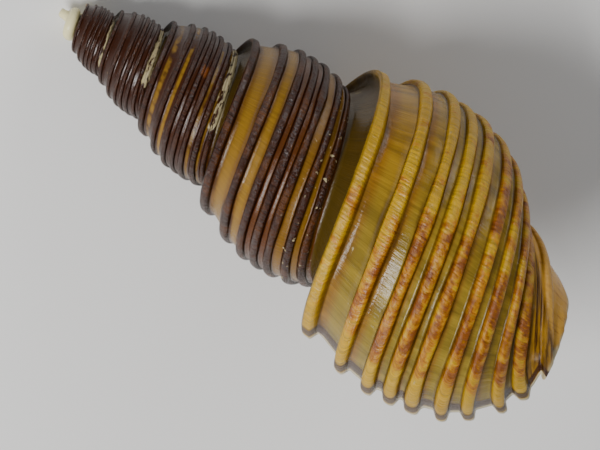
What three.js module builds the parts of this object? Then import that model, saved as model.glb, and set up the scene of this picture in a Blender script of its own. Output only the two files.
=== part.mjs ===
// Grammatus whelk shell: a tall right-handed sea shell with squarish spiral cords, lying on its aperture.
// Units are millimetres. The shell is grown round its own axis first, then laid down as it rests, +Z up.
import * as THREE from "three";
import { mergeVertices } from "three/addons/utils/BufferGeometryUtils.js";

// Growth. Turns are counted from the outer lip, which is at 0, back to the apex at -TURNS.
const TURNS = 5.9;
const STEPS_PER_TURN = 24;
const GROWTH_RATE = 0.4578; // natural logarithm of the size ratio from one turn to the next
const GROWTH_CURVE = 0.0075;
const PITCH = 33.95; // how far the tube moves down the axis in one turn, at the lip
const PITCH_GAIN = 0.447;
const LEAN_PER_TURN = 0.39; // the spire bends a little towards the lip side

// Crests of the cords at the lip, from the shoulder to the base: distance from the axis, and station
// along it, measured from the lip's own origin. The last two are the fasciole and the end of the base.
const CORDS = [
  [24.05, -5.45],
  [26.17, 1.82],
  [26.73, 7.64],
  [26.12, 11.87],
  [25.38, 15.92],
  [23.56, 20.81],
  [20.92, 24.84],
  [16.73, 28.78],
  [12.99, 31.39],
  [10.0, 36.5],
  [4.6, 43.5],
];
const FASCIOLE = 10;
const BASE_END = 11;
const SUTURE = 7.5; // place on the whorl above, counted in cords, where the next whorl joins it
const INNER_CORNER = 7.9; // where the hollow starts, just past the suture

// The early whorls are more barrel-shaped than the last one.
const BARREL_CENTRE = 12;
const BARREL_TILT = 0.267;
const BARREL_WIDEN = 5.73;
const BARREL_STRETCH = 0.0835;

// Cord relief at the lip. It shrinks with the whorls.
const CORD_WIDTH = 2.7;
const CORD_TOP_SHARE = 0.62; // the flat top's share of the cord's width
const CORD_FOOT_SHARE = 1.2;
const SHOULDER_DEPTH = 1.8; // the wide channel under the shoulder cord is deepest
const CORD_DEPTH = 1.35;

// The ramp from the suture to the shoulder cord: share of the way there, then the offset outwards and
// the offset down the axis, at the lip's size. It sinks into a channel behind the cord's rim.
const RAMP = [
  [0.3, 0, 1.2],
  [0.62, 0, 1.6],
  [1, -1.75, -0.1],
  [1, -1.05, -1.3],
  [1, -0.2, -1.15],
];

// Outer lip. The lengths in turns are how far its edge falls back from the straight half-plane.
const WALL = 1.1; // thickness between the cords
const LIP_SCALLOP = 0.012; // between the cords
const LAST_CORD_BACK = 0.02; // at the last cord
const LAST_CORD = 9;
const CANAL_NOTCH = 0.08; // at the canal, next to the fasciole
const LIP_REACH = 0.25; // turns over which the growth lines take the lip's outline

// Columella, the pillar round the axis. Its tip is cut off at a slant and is a little hollow.
const PILLAR_TIP_RADIUS = 5.0;
const PILLAR_MOUTH_GAP = 0.9; // least distance from the pillar's side to the base and to the hollow
const PILLAR_TIP = 28.3; // station of the tip along the axis
const PILLAR_TIP_SLANT = 2.6;
const PILLAR_TIP_DIMPLE = 0.8;
const PILLAR_WAIST = 0.5;
const PILLAR_PIECE = 5; // length of its facets
const RIM_BAND = 1.3;
const PILLAR_TAPER = 1.6; // the early whorls' hollow comes closer to the axis

// The hollow inside
const HOLLOW_TURNS = 0.75;
const HOLLOW_STEPS_PER_TURN = 12;
const FLUTE_REACH = 0.12; // turns over which the cords still show inside the lip
const UNDER_RAMP = [0, 1]; // points of the ramp that the hollow follows from below
const UNDER_RAMP_IN = 0.2;
const UNDER_SHOULDER = 1.1; // place of the hollow's first point under the shoulder cord
const CANAL_SLOPE = 0.6; // how far the hollow draws in for each millimetre that the tip cuts off it
const WHORL_FACETS = 5; // facets of the hollow along the whorl before
const COLUMELLA_FACETS = [0.3, 0.6, 0.9]; // shares of the way from the whorl before to the base

// Worn apex, in turns back from the lip: its core keeps no cords.
const WORN_FROM = 4.55;
const WORN_EDGE = 0.03;
const WORN_RAMP_BACK = 0.12;
const BULB_TURNS = 0.35; // turns over which the first whorl swells from a point

// How the shell lies: rolled about its own axis until its aperture faces down, then its axis is laid
// down until the belly of the last whorl and the whorl before it both touch. Each has a small flat there.
const ROLL_DEG = -97.7;
const LAY_DEG = 71.6;
const FLAT_DEPTH = 0.6;

// Facets: rows with all their detail up to the first turn here, then fewer points up to the second.
const FULL_DETAIL_TURNS = 2.02;
const MEDIUM_DETAIL_TURNS = 3.02;
const TANGENT_STEP = 0.05;
const SIMPSON_PIECES = 24;

const crestLine = new THREE.SplineCurve(CORDS.map(([r, s]) => new THREE.Vector2(r, s)));

function growth(turn) {
  return Math.exp(GROWTH_RATE * turn + GROWTH_CURVE * turn * turn);
}

// Distance that the tube has moved down the axis, from the lip back to a turn, by Simpson's rule
function descent(turn) {
  const width = turn / SIMPSON_PIECES;
  let sum = 0;
  for (let i = 0; i <= SIMPSON_PIECES; i++) {
    const inner = i % 2 ? 4 : 2;
    const weight = i === 0 || i === SIMPSON_PIECES ? 1 : inner;
    const at = i * width;
    sum += weight * (PITCH + PITCH_GAIN * at) * growth(at);
  }
  return (sum * width) / 3;
}

function smooth(low, high, value) {
  const t = Math.min(1, Math.max(0, (value - low) / (high - low)));
  return t * t * (3 - 2 * t);
}

// Size and place of the section at a turn, worked out once for each turn used
const stages = new Map();
function stage(anyTurn) {
  const turn = Math.max(anyTurn, -TURNS);
  const key = turn.toFixed(6);
  if (!stages.has(key)) {
    const early = 1 - Math.exp(turn);
    stages.set(key, {
      early,
      size: growth(turn),
      down: descent(turn),
      lean: LEAN_PER_TURN * (-turn - early),
      bare: smooth(WORN_FROM - WORN_EDGE, WORN_FROM + WORN_EDGE, -turn),
      swell: Math.sqrt(smooth(0, BULB_TURNS, turn + TURNS)),
    });
  }
  return stages.get(key);
}

// A point in the half-plane of a turn: x is the distance from the axis and y the station along it
function crest(cord, turn) {
  const { early, size, down } = stage(turn);
  const line = crestLine.getPoint((cord - 1) / (CORDS.length - 1));
  const beyond = line.y - BARREL_CENTRE;
  const radius = line.x + early * (BARREL_TILT * beyond + BARREL_WIDEN);
  const station = line.y + early * BARREL_STRETCH * beyond;
  return new THREE.Vector2(radius * size, down + station * size);
}

function outward(cord, turn) {
  const above = crest(Math.max(cord - TANGENT_STEP, 1), turn);
  const along = crest(Math.min(cord + TANGENT_STEP, BASE_END), turn).sub(above);
  return new THREE.Vector2(along.y, -along.x).normalize();
}

function spacing(cord, turn) {
  const from = THREE.MathUtils.clamp(Math.floor(cord), 1, BASE_END - 1);
  return crest(from, turn).distanceTo(crest(from + 1, turn)) / stage(turn).size;
}

// 1 on the flat top of a cord and 0 in the channels between
function cordness(cord, turn) {
  const away = Math.abs(cord - Math.round(cord)) * spacing(cord, turn);
  const half = CORD_WIDTH / 2;
  return 1 - smooth(CORD_TOP_SHARE * half, CORD_FOOT_SHARE * half, away);
}

function relief(cord, turn) {
  const deep = THREE.MathUtils.lerp(SHOULDER_DEPTH, CORD_DEPTH, smooth(1.5, 2.5, cord));
  const endless = 1 - smooth(FASCIOLE, BASE_END, cord);
  return deep * endless * (1 - cordness(cord, turn));
}

// A point of the outside. The whole section starts as one point on the axis, at the apex.
function sectionPoint(cord, turn) {
  const { size, bare, swell } = stage(turn);
  const worn = THREE.MathUtils.lerp(relief(cord, turn), CORD_DEPTH, bare);
  const grown = crest(cord, turn).addScaledVector(outward(cord, turn), -worn * size);
  const apex = new THREE.Vector2(0, crest(1, -TURNS).y);
  return apex.lerp(grown, swell);
}

function tipStation(turn) {
  return PILLAR_TIP + PILLAR_TIP_SLANT * Math.cos(2 * Math.PI * turn);
}

// The base ends where the pillar's slanting tip cuts it off.
function clipped(point, turn) {
  return new THREE.Vector2(
    Math.max(point.x, PILLAR_TIP_RADIUS + PILLAR_MOUTH_GAP),
    Math.min(point.y, tipStation(turn)),
  );
}

function place(point, turn, lean = stage(turn).lean) {
  const angle = 2 * Math.PI * turn;
  return new THREE.Vector3(lean + point.x * Math.cos(angle), point.x * Math.sin(angle), point.y);
}

function suturePoint(turn) {
  return sectionPoint(SUTURE, turn - 1);
}

// Points of the ramp in space, from the suture to the shoulder cord's rim, moved by an extra offset
function ramp(turn, extra = new THREE.Vector2()) {
  const { size, bare, lean } = stage(turn);
  const leanBefore = stage(turn - 1).lean;
  const from = suturePoint(turn);
  const to = sectionPoint(1, turn);
  return RAMP.map(([share, out, down]) => {
    const soften = size * (1 - bare);
    const offset = new THREE.Vector2(out, down).multiplyScalar(soften).addScaledVector(extra, size);
    const point = from.clone().lerp(to, share - WORN_RAMP_BACK * bare).add(offset);
    return place(point, turn, THREE.MathUtils.lerp(leanBefore, lean, share));
  });
}

// Stations of the points across the cords, from the shoulder cord to a last station. Full detail gives
// each cord two feet and two top edges, medium two edges and a channel, and coarse a crest and a channel.
function cordStations(last, detail, turn) {
  const stations = [1];
  for (let cord = 1; cord <= last; cord++) {
    const half = CORD_WIDTH / 2 / spacing(cord, turn);
    const halfAbove = CORD_WIDTH / 2 / spacing(cord - 0.5, turn);
    if (detail === "coarse") {
      if (cord > 1) stations.push(cord - 0.5, cord);
      continue;
    }
    if (detail === "medium") {
      if (cord > 1) stations.push(cord - 0.5, cord - CORD_TOP_SHARE * halfAbove);
    } else if (cord > 1) {
      stations.push(cord - CORD_FOOT_SHARE * halfAbove, cord - CORD_TOP_SHARE * halfAbove);
    }
    stations.push(cord + CORD_TOP_SHARE * half);
    if (detail === "full") stations.push(cord + CORD_FOOT_SHARE * half);
  }
  return stations.filter((station) => Math.abs(station - SUTURE) > 0.05 && station < last + 0.45);
}

function detailAt(turn) {
  if (turn > -FULL_DETAIL_TURNS) return "full";
  if (turn > -MEDIUM_DETAIL_TURNS) return "medium";
  return "coarse";
}

// How far the growth lines fall back at a station, in turns
function fallBack(cord, turn) {
  const scallop = LIP_SCALLOP * (1 - cordness(cord, turn)) * smooth(1, 1.2, cord);
  const bend = LAST_CORD_BACK * smooth(LAST_CORD - 0.8, LAST_CORD, cord);
  const notch = CANAL_NOTCH * smooth(LAST_CORD + 0.1, LAST_CORD + 0.9, cord);
  return -(scallop + bend + notch) * smooth(-LIP_REACH, 0, turn);
}

// A row is the section at one turn: points with rising keys, so that rows of any length can be joined.
function wholeRow(turn) {
  const row = spireRow(turn, false);
  for (const cord of cordStations(FASCIOLE, "full", turn).filter((station) => station > SUTURE)) {
    const at = turn + fallBack(cord, turn);
    row.push({ key: cord, point: place(clipped(sectionPoint(cord, at), at), at) });
  }
  const endTurn = turn + fallBack(BASE_END, turn);
  const end = clipped(sectionPoint(BASE_END, endTurn), endTurn);
  row.push({ key: BASE_END, point: place(end, endTurn) });
  return row.concat(pillarPoints(end, endTurn, turn));
}

// The pillar below the base, from where the base ends to the pillar's rim
function pillarPoints(end, endTurn, turn) {
  const rim = new THREE.Vector2(PILLAR_TIP_RADIUS, tipStation(turn));
  const length = end.distanceTo(rim);
  const lastShare = 1 - RIM_BAND / Math.max(length, 2 * RIM_BAND);
  const pieces = Math.max(1, Math.round(length / PILLAR_PIECE));
  const points = [];
  for (let i = 1; i <= pieces; i++) {
    const share = (i / pieces) * lastShare;
    const waist = PILLAR_WAIST * Math.sin(Math.PI * share) * smooth(0, 2 * PILLAR_PIECE, length);
    const at = THREE.MathUtils.lerp(endTurn, turn, share);
    const point = end.clone().lerp(rim, share).sub(new THREE.Vector2(waist, 0));
    points.push({ key: BASE_END + share, point: place(point, at, stage(endTurn).lean * (1 - share)) });
  }
  points.push({ key: BASE_END + 1, point: place(rim, turn, 0) });
  return points;
}

function spireRow(turn, coarseRamp = detailAt(turn) === "coarse") {
  const row = [{ key: 0, point: place(suturePoint(turn), turn - 1) }];
  const bank = ramp(turn);
  bank.forEach((point, i) => {
    if (coarseRamp && i % 2) return;
    row.push({ key: (i + 1) / (bank.length + 1), point });
  });
  for (const cord of cordStations(Math.floor(SUTURE), detailAt(turn), turn)) {
    const at = turn + fallBack(cord, turn);
    row.push({ key: cord, point: place(sectionPoint(cord, at), at) });
  }
  row.push({ key: SUTURE, point: place(sectionPoint(SUTURE, turn), turn) });
  return row;
}

// The wall's inner side in the half-plane of a turn
function innerPoint(cord, turn, flute) {
  const { size } = stage(turn);
  const deep = THREE.MathUtils.lerp(CORD_DEPTH, relief(cord, turn), flute);
  const point = crest(cord, turn).addScaledVector(outward(cord, turn), -(deep + WALL) * size);
  const cutOff = Math.max(0, point.y - tipStation(turn) + WALL);
  point.y -= cutOff;
  point.x -= cutOff * CANAL_SLOPE;
  point.x = Math.max(point.x, PILLAR_TIP_RADIUS * Math.min(1, PILLAR_TAPER * size) + PILLAR_MOUTH_GAP);
  return point;
}

// A loop round the hollow at a turn: out under the ramp, down inside the wall, and back up the pillar
// and the whorl before. At the lip the way back uses the points of the row one turn before.
function hollowLoop(turn, rowBefore) {
  const flute = smooth(-FLUTE_REACH, 0, turn);
  const loop = [];
  const corner = rowBefore[0];
  loop.push({ key: 0, point: corner.point });
  const under = ramp(turn, new THREE.Vector2(-UNDER_RAMP_IN, WALL));
  for (const i of UNDER_RAMP) {
    loop.push({ key: (i + 1) / (RAMP.length + 1), point: under[i] });
  }
  const underShoulder = place(innerPoint(UNDER_SHOULDER, turn, flute), turn);
  loop.push({ key: (UNDER_RAMP.length + 1.5) / (RAMP.length + 1), point: underShoulder });
  const stations = cordStations(FASCIOLE, flute > 0 ? "full" : "coarse", turn);
  for (const cord of stations) {
    if ((!flute && cord % 1) || cord < UNDER_SHOULDER + 0.1) continue;
    const at = turn + fallBack(cord, turn);
    loop.push({ key: cord, point: place(innerPoint(cord, at, flute), at) });
  }
  const back = rowBefore.slice(1).reverse();
  back.forEach(({ point }, i) => loop.push({ key: BASE_END + (i + 1) / back.length, point }));
  loop.push({ key: BASE_END + 2, point: corner.point });
  return loop;
}

// The surface that the hollow at a turn lies against: the whorl before, then the pillar down to the base
function wallBefore(turn) {
  const before = turn - 1;
  const points = [];
  for (let i = 0; i <= WHORL_FACETS; i++) {
    const cord = THREE.MathUtils.lerp(INNER_CORNER, BASE_END, i / WHORL_FACETS);
    points.push({ key: cord, point: place(sectionPoint(cord, before), before) });
  }
  const top = sectionPoint(BASE_END, before);
  const foot = innerPoint(BASE_END, turn, 0);
  for (const share of COLUMELLA_FACETS) {
    points.push({ key: BASE_END + share, point: place(top.clone().lerp(foot, share), turn) });
  }
  return points;
}

const corners = [];

function addTriangle(a, b, c) {
  corners.push(a, b, c);
}

// Joins two rows with triangles, always stepping along the one whose next key is lower.
function join(rowA, rowB) {
  let a = 0;
  let b = 0;
  while (a < rowA.length - 1 || b < rowB.length - 1) {
    const nextA = a < rowA.length - 1 ? rowA[a + 1].key : Infinity;
    const nextB = b < rowB.length - 1 ? rowB[b + 1].key : Infinity;
    if (nextA <= nextB) {
      addTriangle(rowA[a].point, rowA[a + 1].point, rowB[b].point);
      a++;
    } else {
      addTriangle(rowA[a].point, rowB[b + 1].point, rowB[b].point);
      b++;
    }
  }
}

function fan(loop, centre) {
  loop.forEach((point, i) => addTriangle(point, loop[(i + 1) % loop.length], centre));
}

function middle(points) {
  return points.reduce((sum, point) => sum.add(point), new THREE.Vector3()).divideScalar(points.length);
}

function buildShell() {
  const turnOf = (step) => -step / STEPS_PER_TURN;
  const last = Math.ceil(TURNS * STEPS_PER_TURN);
  const whole = [];
  for (let step = 0; step <= STEPS_PER_TURN; step++) whole.push(wholeRow(turnOf(step)));
  for (let step = 0; step < STEPS_PER_TURN; step++) join(whole[step], whole[step + 1]);

  const spire = [whole[STEPS_PER_TURN].filter(({ key }) => key <= SUTURE)];
  for (let step = STEPS_PER_TURN + 1; step <= last; step++) spire.push(spireRow(turnOf(step)));
  for (let i = 0; i < spire.length - 1; i++) join(spire[i], spire[i + 1]);

  // The slanting tip of the pillar
  const rim = whole.slice(0, STEPS_PER_TURN).map((row) => row.at(-1).point);
  fan(rim.reverse(), new THREE.Vector3(0, 0, PILLAR_TIP - PILLAR_TIP_DIMPLE));

  // The lip's edge, then the hollow
  const beforeLip = whole[STEPS_PER_TURN].filter(({ key }) => key > SUTURE);
  beforeLip.pop();
  const loops = [hollowLoop(0, beforeLip)];
  const edge = loops[0].filter(({ key }) => key <= BASE_END);
  edge.push({ key: BASE_END + 0.5, point: beforeLip.at(-1).point });
  join(edge, whole[0]);
  const hollowSteps = Math.round(HOLLOW_TURNS * HOLLOW_STEPS_PER_TURN);
  for (let step = 1; step <= hollowSteps; step++) {
    const turn = -step / HOLLOW_STEPS_PER_TURN;
    loops.push(hollowLoop(turn, wallBefore(turn)));
  }
  for (let i = 0; i < loops.length - 1; i++) join(loops[i + 1], loops[i]);
  const end = loops.at(-1).slice(1).map(({ point }) => point);
  fan(end.reverse(), middle(end));
}

// Lays the shell on its belly, with its origin at the bottom centre of its box, and flattens what would
// reach below the ground.
function layDown(geometry) {
  const roll = new THREE.Matrix4().makeRotationZ(THREE.MathUtils.degToRad(ROLL_DEG));
  const lay = new THREE.Matrix4().makeRotationY(THREE.MathUtils.degToRad(LAY_DEG));
  geometry.applyMatrix4(lay.multiply(roll));
  geometry.computeBoundingBox();
  const { min, max } = geometry.boundingBox;
  geometry.translate(-(min.x + max.x) / 2, -(min.y + max.y) / 2, -min.z - FLAT_DEPTH);
  const { position } = geometry.attributes;
  for (let i = 0; i < position.count; i++) position.setZ(i, Math.max(0, position.getZ(i)));
  return geometry;
}

buildShell();
const shell = new THREE.Mesh(
  mergeVertices(layDown(new THREE.BufferGeometry().setFromPoints(corners)), 1e-3),
  new THREE.MeshStandardMaterial({ color: 0x9a7428, roughness: 0.32, metalness: 0 }),
);
shell.name = "shell";
const whelk = new THREE.Group();
whelk.add(shell);

export default whelk;
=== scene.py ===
"""A corded whelk shell, grown turn by turn from its apex to its lip, on a pale studio floor."""

import math
from collections import namedtuple

import bmesh
import bpy
from bpy.props import FloatProperty, FloatVectorProperty, PointerProperty
from mathutils import Matrix, Vector, noise


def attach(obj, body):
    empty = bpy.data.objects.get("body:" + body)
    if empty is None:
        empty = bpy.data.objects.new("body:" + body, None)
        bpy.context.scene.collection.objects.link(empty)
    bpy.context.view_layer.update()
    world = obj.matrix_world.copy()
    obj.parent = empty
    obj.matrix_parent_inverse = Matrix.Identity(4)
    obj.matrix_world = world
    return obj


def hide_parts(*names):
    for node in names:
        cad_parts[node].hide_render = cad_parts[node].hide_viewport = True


bl_info = {
    "name": "Whelk Shell",
    "version": (1, 0, 0),
    "blender": (4, 5, 0),
    "location": "3D View > Sidebar > Whelk",
    "description": "Grows a corded whelk shell and lays it on a studio floor",
    "category": "Add Mesh",
}

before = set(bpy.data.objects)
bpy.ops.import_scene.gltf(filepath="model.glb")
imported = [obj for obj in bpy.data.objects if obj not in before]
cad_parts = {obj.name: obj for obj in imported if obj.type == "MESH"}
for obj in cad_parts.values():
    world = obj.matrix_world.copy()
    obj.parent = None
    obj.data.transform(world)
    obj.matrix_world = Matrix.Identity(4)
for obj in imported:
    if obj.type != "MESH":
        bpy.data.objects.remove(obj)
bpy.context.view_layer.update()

# All sizes are in metres. Turns are counted from the outer lip, which is at 0, back to the apex. A
# station is a place across a whorl, counted in cords: 1 is the crest of the shoulder cord. A level is
# a distance down the shell's own axis.
TURNS = 5.9
STEPS_PER_TURN = 96
STEPS = 568  # a little more than the turns need, so the first rows close the apex
GROWTH_RATE = 0.4578  # natural logarithm of the size ratio from one turn to the next
GROWTH_CURVE = 0.0075
PITCH = 0.03395  # how far the tube moves down the axis in one turn, at the lip
PITCH_GAIN = 0.000447
LEAN_PER_TURN = 0.00039

# Crests of the cords at the lip, from the shoulder to the base: distance from the axis, and level.
# The last two are the fasciole and the end of the base.
CORDS = [
    (0.02405, -0.00545),
    (0.02617, 0.00182),
    (0.02673, 0.00764),
    (0.02612, 0.01187),
    (0.02538, 0.01592),
    (0.02356, 0.02081),
    (0.02092, 0.02484),
    (0.01673, 0.02878),
    (0.01299, 0.03139),
    (0.01000, 0.03650),
    (0.00460, 0.04350),
]
FASCIOLE = 10
BASE_END = 11
SUTURE = 7.5  # the station on the whorl above where the next whorl joins it

# The early whorls are more barrel-shaped than the last one.
BARREL_CENTRE = 0.012  # level
BARREL_TILT = 0.267
BARREL_WIDEN = 0.00573
BARREL_STRETCH = 0.0835

# The cords' cross section, in shares of half a cord's width: the columns of points on a flank, and
# where the flat top ends and the channel starts
FLANK = (0.0, 0.4, 0.62, 0.76, 0.9, 1.05, 1.2)
CORD_TOP_SHARE = 0.62
CORD_FOOT_SHARE = 1.2
CHANNEL_COLUMNS = 3
CROWN = 0.00042  # how much the cord's top is rounded
WIDTH_WANDER = 0.25  # how unevenly wide the cords are
SHOULDER_CHANNEL_ENDS = (1.5, 2.5)  # the stations between which the channels get shallower

# Natural unevenness: waves for each turn and for each station
WIDTH_WAVES = (14, 3.7)
BROAD_WAVES = (9, 0.9)
FINE_WAVES = (31, 2.1)

# The ramp from the suture to the shoulder cord: share of the way there, then the offset outwards and
# the offset down the axis. It sinks into a channel behind the cord's rim.
RAMP = [
    (0.3, 0.0, 0.0012),
    (0.62, 0.0, 0.0016),
    (1.0, -0.00175, -0.0001),
    (1.0, -0.00105, -0.0013),
    (1.0, -0.0002, -0.00115),
]
RAMP_COLUMNS = 14
RAMP_RIM = (0.72, 0.95)  # shares of the ramp between which its colour turns to that of the cord
UNDER_RAMP_IN = 0.0002
UNDER_SHOULDER = 1.1  # the station where the wall's inner side leaves the ramp

# The lip's edge falls back from the straight half-plane, in turns, between the cords and at the canal.
SCALLOP_FOOT = (0.1, 1.4)  # half cord widths from a cord's middle between which it falls back
SCALLOPS_START = (1, 1.2)  # stations between which the scallops set in
SCALLOPS_END = (9.9, 10.1)
LAST_CORD_BACK = 0.02
LAST_CORD_BEND = (8.2, 9)  # stations between which the lip bends back to the last cord
CANAL_NOTCH = 0.08
NOTCH_BEND = (9.1, 9.9)
LIP_REACH = 0.25  # the turns over which this fades out behind the lip
LIP_SEGMENTS = 6
LIP_ROUNDING = 0.42  # bulge of the rounded edge, as a share of the wall's thickness
LIP_START = 0.4  # the rounding grows from nothing at the suture to this station
LIP_FADE = 0.3  # and fades out over this many stations at the base's end

# Columella, the pillar round the axis
PILLAR_TIP_RADIUS = 0.005
PILLAR_MOUTH_GAP = 0.0009  # between the pillar's tip and the end of the base
PILLAR_TIP = 0.0283  # level of the middle of the slanting tip
PILLAR_TIP_SLANT = 0.0026
PILLAR_TIP_DIMPLE = 0.0008
PILLAR_WAIST = 0.0005  # how much it is drawn in
WAIST_LENGTH = 0.01  # where the pillar is shorter than this, it is drawn in less
PILLAR_COLUMNS = 14
RIM_BAND = 0.0013  # a band of closer columns round the tip
PILLAR_TAPER = 1.6  # how fast it grows to its full radius
CANAL_SLOPE = 0.6  # how far the canal's floor runs inwards for each metre that it is cut off

# The hollow inside, in turns
HOLLOW_TURNS = 1.75
HOLLOW_STEPS_PER_TURN = 24
FLUTE_REACH = 0.12  # over this the cords show on the wall's inner side
GLAZE_REACH = 0.3  # over this the inside turns into full glaze
FOOT_REACH = 0.35  # over this the columns at the wall's foot spread up the pillar
FIRST_FOOT_SHARE = 0.06  # share of the way up the pillar that they take at first

# Worn apex, in turns back from the lip
WORN_FROM = 4.55
WORN_EDGE = 0.03
BULB_TURNS = 0.12  # in which the core's round end swells to its full thickness

# The bare core at the apex is a thin round tube, which coils up out of the first whole whorl.
CORE_REACH = 0.0029  # from the axis to the tube's middle
NUB_REACH = 0.0005
CORE_TUBE = 0.00095  # radius of the tube
NUB_TUBE = 0.0009
CORE_PITCH = 0.0022
CORE_SUNK = 0.0004  # how deep the tube starts inside the whorl
NUB_CROOK = 0.0011  # how far the tube's end is bent aside
NUB_BENT_TURNS = 0.7
NUB_LENGTH = 0.0003
# The nub's profile, for the points of the ramp: shares of the way out and down to the tube
NUB_PROFILE = [(0.4, 0.03), (0.46, 0.6), (0.72, 1.0), (0.82, 1.0), (0.92, 1.0)]

# How the shell lies on the ground
ROLL = math.radians(-97.7)
LAY = math.radians(71.6)
REST_AT = (0.01888, 0.0018, 0.02446)  # where the point of the axis level with the lip comes to lie

SIMPSON_PIECES = 24
TANGENT_STEP = 0.05
WELD = 5e-7

GROWTH_MAP = "Growth"  # turn and station
RELIEF_MAP = "Relief"  # how much of a cord the place is, and how far inside the lip it is

# Markings, by the turns that they lie between. Stations are counted in cords from the shoulder.
STAINED_TURNS = (-0.27, -0.085)
FAR_STAINED_TURNS = (-0.62, -0.24)
LAST_GROWTH = (-0.1, -0.075)  # from here to the lip the cords are clean
SPIRE_ENDS = (-0.78, -0.6)
SPIRE_SHINE_ENDS = (-0.85, -0.65)
AMBER_STARTS = (-2.05, -1.75)
UMBER_STARTS = (-2.1, -1.7)
DARK_ENDS = (-3.0, -2.6)
RED_SPOTS = ((-2.305, -2.28), (4.05, 4.75))
SPECKLED_TURNS = (-2.0, -0.9)
BASE_STARTS = (-0.95, -0.8)
LIP_LINE = (-0.036, -0.013)
LIP_EDGE = (-0.011, -0.008)
# Markings of the base, by the stations between which they set in
RIDGES_START = (9.2, 9.5)
SMOOTH_BASE_STARTS = (9.4, 9.6)
CALLUS_STARTS = (10.15, 10.3)
BASE_RIM_STARTS = (9.85, 9.95)
# The flakes at the sutures: the turns between which they lie, how softly they end there, and the
# stations between which they set in
FLAKES = [
    ((-2.5, -2.18), 0.03, (6.0, 6.9)),
    ((-3.42, -3.16), 0.02, (5.9, 6.6)),
    ((-4.4, -4.08), 0.02, (6.3, 7.0)),
]

SHELL_SPECULAR = 0.36
BUMP_STRENGTH = 0.7
BUMP_DISTANCE = 0.00026

# Lights: where each comes from, its distance from the shell, and its width and height
SHELL_MIDDLE = Vector((0.0, 0.0, 0.02))
KEY_LIGHT = ((-0.35, -0.6, 0.76), 0.55, (0.35, 0.12))
RIM_LIGHT = ((0.15, 0.9, 0.38), 0.6, (0.5, 0.12))
SKY_COLOUR = (0.86, 0.88, 0.92, 1)
SKY_STRENGTH = 0.22
FLOOR_ROUGHNESS = 0.85

# The camera, and the directions of its right and upper sides
CAMERA_AT = (-0.09748, 0.01022, 0.3015)
CAMERA_RIGHT = (0.79802, 0.5482, 0.25020)
CAMERA_UP = (-0.50097, 0.83435, -0.23013)


class WhelkSizes(bpy.types.PropertyGroup):
    """Sizes of the shell that can be changed without redrawing its outline."""

    cord_width: FloatProperty(
        name="Cord Width",
        description="Width of a cord at the lip",
        default=0.0027,
        unit="LENGTH",
    )
    shoulder_depth: FloatProperty(
        name="Shoulder Depth",
        description="Depth of the wide channel under the shoulder cord",
        default=0.0018,
        unit="LENGTH",
    )
    cord_depth: FloatProperty(
        name="Cord Depth",
        description="Depth of the channels between the cords",
        default=0.00135,
        unit="LENGTH",
    )
    wall: FloatProperty(
        name="Wall",
        description="Thickness of the shell between the cords",
        default=0.0011,
        unit="LENGTH",
    )
    scallop: FloatProperty(
        name="Lip Scallop",
        description="Turns by which the lip falls back between the cords",
        default=0.016,
    )
    unevenness: FloatProperty(
        name="Unevenness",
        description="Height of the natural waves in the cords",
        default=0.00016,
        unit="LENGTH",
    )


class WhelkColours(bpy.types.PropertyGroup):
    """Colours of the shell's surface."""

    gold: FloatVectorProperty(
        name="Gold",
        description="Clean cords of the last whorl",
        size=4,
        subtype="COLOR",
        default=(0.5, 0.295, 0.004, 1),
    )
    honey: FloatVectorProperty(
        name="Honey",
        description="Darker parts of the gold, and the widest channel",
        size=4,
        subtype="COLOR",
        default=(0.38, 0.19, 0.008, 1),
    )
    orange: FloatVectorProperty(
        name="Orange",
        description="Light stains on the last whorl's cords",
        size=4,
        subtype="COLOR",
        default=(0.41, 0.15, 0.004, 1),
    )
    # Rust is also used as painted shade in the channel just below each cord of the last whorl.
    rust: FloatVectorProperty(
        name="Rust",
        description="Dark stains on the last whorl's cords",
        size=4,
        subtype="COLOR",
        default=(0.19, 0.05, 0.005, 1),
    )
    olive: FloatVectorProperty(
        name="Olive",
        description="Channels of the last whorl",
        size=4,
        subtype="COLOR",
        default=(0.235, 0.15, 0.011, 1),
    )
    khaki: FloatVectorProperty(
        name="Khaki",
        description="Channels near the lip",
        size=4,
        subtype="COLOR",
        default=(0.215, 0.16, 0.026, 1),
    )
    # Painted shade: the ramp colour darkens the recess behind the shoulder cord, where shadow falls.
    ramp: FloatVectorProperty(
        name="Ramp",
        description="Recess behind the shoulder cord",
        size=4,
        subtype="COLOR",
        default=(0.05, 0.032, 0.005, 1),
    )
    # Chocolate is also used as painted shade along the foot of each cord.
    chocolate: FloatVectorProperty(
        name="Chocolate",
        description="Cords of the spire",
        size=4,
        subtype="COLOR",
        default=(0.03, 0.0065, 0.0008, 1),
    )
    umber: FloatVectorProperty(
        name="Umber",
        description="Narrow channels of the spire",
        size=4,
        subtype="COLOR",
        default=(0.085, 0.024, 0.002, 1),
    )
    amber: FloatVectorProperty(
        name="Amber",
        description="Wide channels of the spire",
        size=4,
        subtype="COLOR",
        default=(0.24, 0.125, 0.009, 1),
    )
    cream: FloatVectorProperty(
        name="Cream",
        description="Worn flakes near the sutures",
        size=4,
        subtype="COLOR",
        default=(0.42, 0.35, 0.19, 1),
    )
    core: FloatVectorProperty(
        name="Core",
        description="Worn apex",
        size=4,
        subtype="COLOR",
        default=(0.8, 0.73, 0.4, 1),
    )
    callus: FloatVectorProperty(
        name="Callus",
        description="Smooth base beside the canal",
        size=4,
        subtype="COLOR",
        default=(0.52, 0.27, 0.035, 1),
    )
    lip: FloatVectorProperty(
        name="Lip",
        description="Edge of the outer lip",
        size=4,
        subtype="COLOR",
        default=(0.5, 0.42, 0.24, 1),
    )
    inside: FloatVectorProperty(
        name="Inside",
        description="Glaze inside the aperture",
        size=4,
        subtype="COLOR",
        default=(0.6, 0.42, 0.2, 1),
    )


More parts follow.
